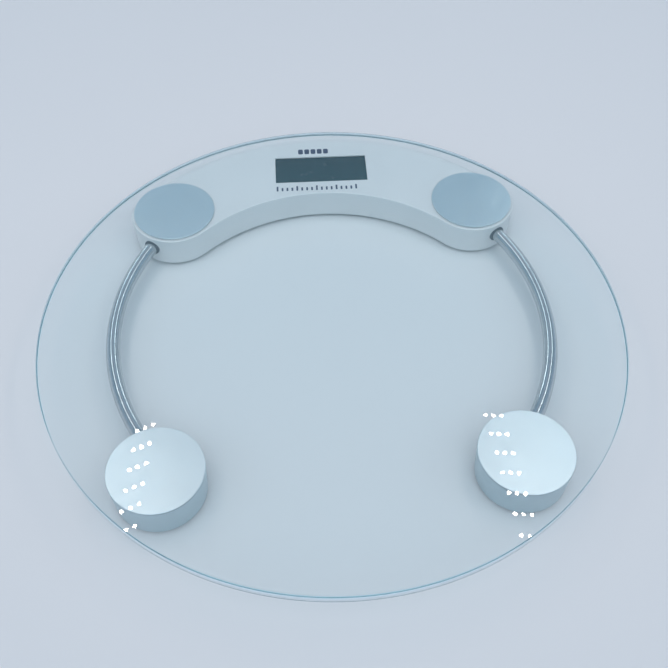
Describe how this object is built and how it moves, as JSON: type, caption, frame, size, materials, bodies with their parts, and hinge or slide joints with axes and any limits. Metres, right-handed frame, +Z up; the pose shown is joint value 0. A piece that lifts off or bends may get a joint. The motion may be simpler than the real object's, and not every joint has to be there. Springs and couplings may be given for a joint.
{
  "type": "bathroom scale",
  "caption": "Round clear-glass electronic bathroom scale on four load-cell feet, with a crescent display case at the rear and curved steel wire tubes to the front feet.",
  "frame": {"origin": "on the floor under the middle of the round glass", "axes": "+Z up, +Y from the middle towards the display, +X to the right of a user who faces the display"},
  "size_m": [0.33, 0.33, 0.029],
  "materials": {
    "clear_glass": "polished tempered glass with a ground edge",
    "pearl_plastic": "pearl-white satin moulding",
    "base_plastic": "fine moulded texture",
    "silver_plastic": "silver-painted satin plastic",
    "disc_finish": "satin silver",
    "adhesive": "grey foam tape",
    "polished_tube": "polished plated steel",
    "grommet_rubber": "matte moulded rubber",
    "sole_rubber": "matte grey rubber",
    "foot_plastic": "moulded",
    "button_plastic": "moulded",
    "plated_steel": "nickel-plated sheet and wire",
    "steel_screws": "zinc-plated",
    "gauge_foil": "polyimide film",
    "cable_jacket": "soft vinyl",
    "battery_jacket": "shrink-wrapped can",
    "black_plastic": "moulded",
    "connector_plastic": "moulded",
    "circuit_board": "solder mask on glass-fibre laminate",
    "lcd_glass": "blank liquid-crystal cell, switched off",
    "black_foam": "foam gasket",
    "zebra_rubber": "layered conductive rubber"
  },
  "bodies": {
    "platform": {"glass_platform": "clear_glass", "housing_shell": "pearl_plastic", "housing_base": "base_plastic", "housing_screws": "steel_screws", "front_base_screws": "steel_screws", "pcb_screws": "steel_screws", "adhesive_pads_rear": "adhesive", "adhesive_pads_front": "adhesive", "strain_gauges": "gauge_foil", "tube_grommets": "grommet_rubber", "rear_cell_leads": "cable_jacket", "battery_cells": "battery_jacket", "battery_springs": "plated_steel", "battery_contacts": "plated_steel", "unit_switch": "black_plastic", "main_pcb": "circuit_board", "pcb_components": "black_plastic", "wire_connectors": "connector_plastic", "lcd_panel": "lcd_glass", "lcd_gasket": "black_foam", "lcd_zebra_strips": "zebra_rubber", "mounting_disc_rear_left": "disc_finish", "load_cell_rear_left": "plated_steel", "cell_carrier_rear_left": "base_plastic", "foot_rear_left": "foot_plastic", "sole_rear_left": "sole_rubber", "mounting_disc_rear_right": "disc_finish", "load_cell_rear_right": "plated_steel", "cell_carrier_rear_right": "base_plastic", "foot_rear_right": "foot_plastic", "sole_rear_right": "sole_rubber", "mounting_disc_front_left": "disc_finish", "load_cell_front_left": "plated_steel", "cell_carrier_front_left": "base_plastic", "foot_front_left": "foot_plastic", "sole_front_left": "sole_rubber", "mounting_disc_front_right": "disc_finish", "load_cell_front_right": "plated_steel", "cell_carrier_front_right": "base_plastic", "foot_front_right": "foot_plastic", "sole_front_right": "sole_rubber", "front_cup_left": "silver_plastic", "front_base_left": "base_plastic", "tube_left": "polished_tube", "cable_left": "cable_jacket", "front_cup_right": "silver_plastic", "front_base_right": "base_plastic", "tube_right": "polished_tube", "cable_right": "cable_jacket"},
    "button": {"unit_button": "button_plastic", "switch_plunger": "black_plastic"},
    "door": {"battery_door": "base_plastic"}
  },
  "joints": [
    {"name": "button_press", "type": "slide", "parent": "platform", "child": "button", "axis": [0, 0, 1], "range_m": [0, 0.0006], "stiffness_N_per_m": 1500, "springref_m": -0.0002},
    {"name": "battery_door_hinge", "type": "hinge", "parent": "platform", "child": "door", "pos_m": [0, 0.1435, 0.0032], "axis": [1, 0, 0], "range_deg": [0, 60]}
  ]
}
